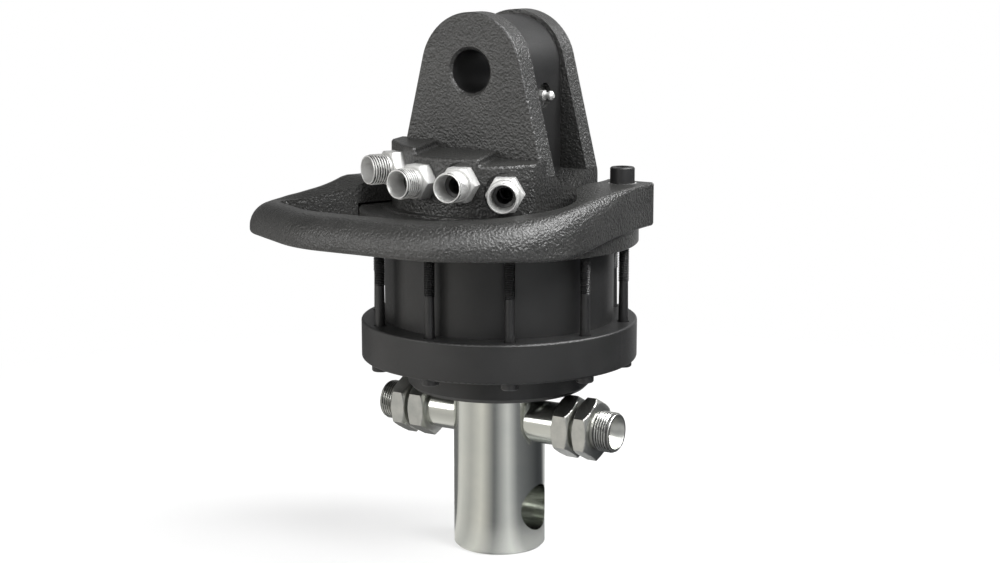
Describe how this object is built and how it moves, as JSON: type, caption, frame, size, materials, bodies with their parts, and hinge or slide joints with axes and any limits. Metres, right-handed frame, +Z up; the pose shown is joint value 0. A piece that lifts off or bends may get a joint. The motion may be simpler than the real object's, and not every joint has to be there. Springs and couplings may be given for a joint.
{
  "type": "hydraulic grapple rotator",
  "caption": "Black shaft-type hydraulic rotator for a crane's log grapple, with a pin lug, hose ports, a cast hose guard and a bored steel shaft.",
  "frame": {"origin": "centre of the shaft's bottom face", "axes": "+Z up along the axis of turning, -Y towards the hose ports of the head, +X towards the side with the grease nipple"},
  "size_m": [0.2671, 0.2507, 0.403],
  "materials": {
    "black_cast": "satin black paint over a fine sand-cast skin",
    "black_turned": "satin black paint over a machined face",
    "black_steel": "black oxide, slightly oily",
    "bright_zinc": "bright zinc plating",
    "grey_zinc": "dull galvanised grey",
    "machined_steel": "fine turned, satin",
    "spring_steel": "blued spring steel",
    "bronze": "plain bearing bronze",
    "bearing_steel": "ground and polished",
    "cast_iron": "honed grey iron",
    "seal_rubber": "matt oil-proof rubber"
  },
  "bodies": {
    "housing": {"head": "black_cast", "stator_ring": "black_turned", "bearing_housing": "black_turned", "seal_cap": "black_turned", "upper_bush": "bronze", "lower_bush": "bronze", "thrust_washer_lower": "bearing_steel", "shaft_seal": "seal_rubber", "dust_wiper": "seal_rubber", "swivel_seals": "seal_rubber", "housing_seal": "seal_rubber", "head_seal": "seal_rubber", "housing_bolts": "black_steel", "cap_screws": "black_steel", "port_adapter_1": "bright_zinc", "port_adapter_2": "bright_zinc", "port_adapter_3": "bright_zinc", "port_adapter_4": "bright_zinc", "grease_nipple": "bright_zinc", "hose_guard": "black_cast", "guard_screw_left": "black_steel", "guard_screw_right": "black_steel"},
    "shaft": {"rotor_shaft": "machined_steel", "vane_springs": "spring_steel", "thrust_washer_upper": "bearing_steel", "thrust_rollers": "bearing_steel", "thrust_cage": "bronze", "port_tube_left": "machined_steel", "port_tube_right": "machined_steel", "union_nut_left": "grey_zinc", "union_nut_right": "grey_zinc", "hose_adapter_left": "grey_zinc", "hose_adapter_right": "grey_zinc"},
    "vane_body_1": {"vane_1": "cast_iron"},
    "vane_body_2": {"vane_2": "cast_iron"},
    "vane_body_3": {"vane_3": "cast_iron"},
    "vane_body_4": {"vane_4": "cast_iron"},
    "vane_body_5": {"vane_5": "cast_iron"},
    "vane_body_6": {"vane_6": "cast_iron"},
    "vane_body_7": {"vane_7": "cast_iron"},
    "vane_body_8": {"vane_8": "cast_iron"}
  },
  "joints": [
    {"name": "shaft_spin", "type": "hinge", "parent": "housing", "child": "shaft", "pos_m": [0, 0, 0], "axis": [0, 0, 1], "continuous": true},
    {"name": "vane_slide_1", "type": "slide", "parent": "shaft", "child": "vane_body_1", "axis": [-1, 0, 0], "range_m": [0, 0.0032], "stiffness_N_per_m": 1500, "springref_m": -0.001},
    {"name": "vane_slide_2", "type": "slide", "parent": "shaft", "child": "vane_body_2", "axis": [-0.7071, -0.7071, 0], "range_m": [0, 0.0032], "stiffness_N_per_m": 1500, "springref_m": -0.001},
    {"name": "vane_slide_3", "type": "slide", "parent": "shaft", "child": "vane_body_3", "axis": [0, -1, 0], "range_m": [0, 0.0032], "stiffness_N_per_m": 1500, "springref_m": -0.001},
    {"name": "vane_slide_4", "type": "slide", "parent": "shaft", "child": "vane_body_4", "axis": [0.7071, -0.7071, 0], "range_m": [0, 0.0032], "stiffness_N_per_m": 1500, "springref_m": -0.001},
    {"name": "vane_slide_5", "type": "slide", "parent": "shaft", "child": "vane_body_5", "axis": [1, 0, 0], "range_m": [0, 0.0032], "stiffness_N_per_m": 1500, "springref_m": -0.001},
    {"name": "vane_slide_6", "type": "slide", "parent": "shaft", "child": "vane_body_6", "axis": [0.7071, 0.7071, 0], "range_m": [0, 0.0032], "stiffness_N_per_m": 1500, "springref_m": -0.001},
    {"name": "vane_slide_7", "type": "slide", "parent": "shaft", "child": "vane_body_7", "axis": [0, 1, 0], "range_m": [0, 0.0032], "stiffness_N_per_m": 1500, "springref_m": -0.001},
    {"name": "vane_slide_8", "type": "slide", "parent": "shaft", "child": "vane_body_8", "axis": [-0.7071, 0.7071, 0], "range_m": [0, 0.0032], "stiffness_N_per_m": 1500, "springref_m": -0.001}
  ]
}
